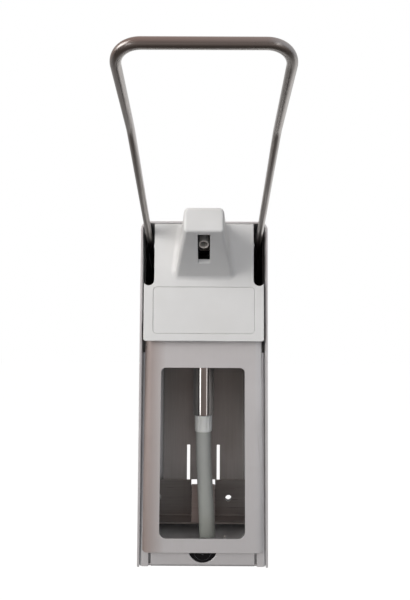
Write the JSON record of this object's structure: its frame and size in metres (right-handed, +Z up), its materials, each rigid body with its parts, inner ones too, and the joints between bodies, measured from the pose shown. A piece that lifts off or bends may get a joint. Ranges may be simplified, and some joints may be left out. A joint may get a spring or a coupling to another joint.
{
  "type": "arm lever sanitizer dispenser",
  "caption": "Wall dispenser for bottled hand sanitizer: sheet metal housing, white hood over the outlet, lift-off windowed front panel and a bent-rod arm lever that works a piston pump.",
  "frame": {"origin": "midway between the two upper wall screw holes, on the wall face of the back wall", "axes": "+X to the right seen from the front, +Y into the wall, +Z up"},
  "size_m": [0.0924, 0.2276, 0.2934],
  "materials": {
    "anodised": "satin anodised sheet",
    "steel_sheet": "fine brushed stainless sheet",
    "rivet_aluminium": "plain",
    "white_plastic": "smooth moulded, low gloss",
    "label_blank": "blank, satin",
    "black_plastic": "moulded",
    "lock_black": "gloss moulded",
    "bright_steel": "polished stainless",
    "zinc_steel": "zinc plated",
    "pump_natural": "natural polypropylene",
    "tube_natural": "milky polyethylene",
    "seal_rubber": "moulded"
  },
  "bodies": {
    "housing": {"housing_shell": "anodised", "back_wall": "anodised", "base_plate": "anodised", "left_rail": "anodised", "right_rail": "anodised", "housing_rivets": "rivet_aluminium", "back_liner": "steel_sheet", "liner_rivets": "rivet_aluminium", "bottle_rest": "steel_sheet", "rest_rivets": "rivet_aluminium", "top_cover": "white_plastic", "label_plate": "label_blank", "cover_screws": "zinc_steel", "pump_carrier": "black_plastic", "carrier_screws": "zinc_steel", "pivot_bushes": "pump_natural", "pump_cylinder": "bright_steel", "pump_cap": "black_plastic", "rod_seal": "seal_rubber", "foot_valve": "pump_natural", "dip_tube": "tube_natural", "panel_studs": "zinc_steel", "lock_body": "lock_black", "lock_rivets": "zinc_steel"},
    "arm_lever": {"lever": "bright_steel", "pivot_pins": "bright_steel", "drive_lugs": "bright_steel"},
    "pump": {"piston_rod": "bright_steel", "piston": "pump_natural", "piston_seal": "seal_rubber", "pump_head": "black_plastic", "crosshead": "black_plastic", "head_clip": "bright_steel", "outlet_tube": "bright_steel", "tube_nut": "bright_steel", "return_spring": "bright_steel"},
    "outlet_valve_ball": {"outlet_ball": "bright_steel"},
    "foot_valve_ball": {"foot_ball": "bright_steel"},
    "panel": {"front_panel": "anodised", "panel_catch": "zinc_steel"},
    "lock": {"lock_barrel": "lock_black", "lock_cam": "zinc_steel", "lock_screw": "zinc_steel"}
  },
  "joints": [
    {"name": "lever_press", "type": "hinge", "parent": "housing", "child": "arm_lever", "pos_m": [0, -0.014, -0.02], "axis": [1, 0, 0], "range_deg": [0, 26], "stiffness_Nm_per_rad": 0.9, "springref_deg": -25.78},
    {"name": "pump_stroke", "type": "slide", "parent": "housing", "child": "pump", "axis": [0, 0, -1], "range_m": [0, 0.012], "deforming": ["return_spring"]},
    {"name": "outlet_ball_lift", "type": "slide", "parent": "pump", "child": "outlet_valve_ball", "axis": [0, 0, 1], "range_m": [0, 0.0012]},
    {"name": "foot_ball_lift", "type": "slide", "parent": "housing", "child": "foot_valve_ball", "axis": [0, 0, 1], "range_m": [0, 0.0012]},
    {"name": "panel_tilt", "type": "hinge", "parent": "housing", "child": "panel", "pos_m": [0, -0.0683, -0.0645], "axis": [-1, 0, 0], "range_deg": [0, 30]},
    {"name": "lock_turn", "type": "hinge", "parent": "housing", "child": "lock", "pos_m": [0, -0.074, -0.2143], "axis": [0, -1, 0], "range_deg": [-180, 0]}
  ],
  "couplings": [
    {"joint": "pump_stroke", "follows": "lever_press", "m_per_rad": 0.02644}
  ]
}
